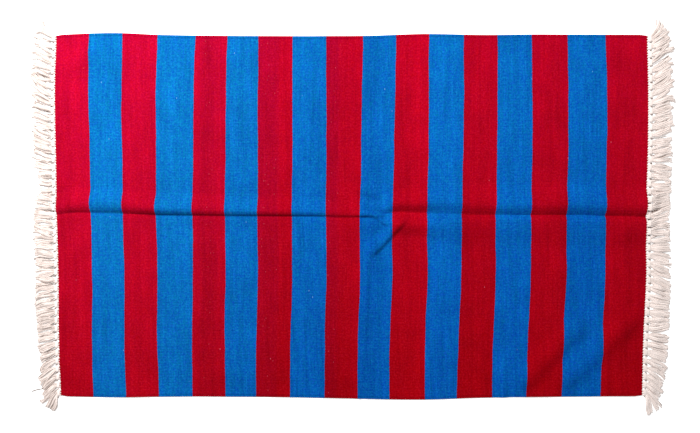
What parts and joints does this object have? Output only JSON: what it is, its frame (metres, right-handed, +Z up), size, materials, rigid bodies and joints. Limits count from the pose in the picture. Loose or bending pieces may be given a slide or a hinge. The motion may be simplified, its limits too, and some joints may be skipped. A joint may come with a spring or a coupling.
{
  "type": "dhurrie rug",
  "caption": "Flat-woven cotton rug with wide crosswise stripes, a soft fold across its middle and a knotted fringe along each end.",
  "frame": {"origin": "centre of the whole footprint, fringes included, on the surface that the rug lies on", "axes": "+X along the rug's length, +Y across its width, +Z up"},
  "size_m": [1.6292, 0.981, 0.019],
  "materials": {
    "woven_field": "weft-faced cotton flat weave in alternating crimson and bright blue stripes, matt",
    "fringe_yarn": "undyed plied cotton warp yarn, matt"
  },
  "bodies": {
    "root": {"woven_field": "woven_field", "fringe_left": "fringe_yarn", "fringe_right": "fringe_yarn"}
  },
  "joints": []
}
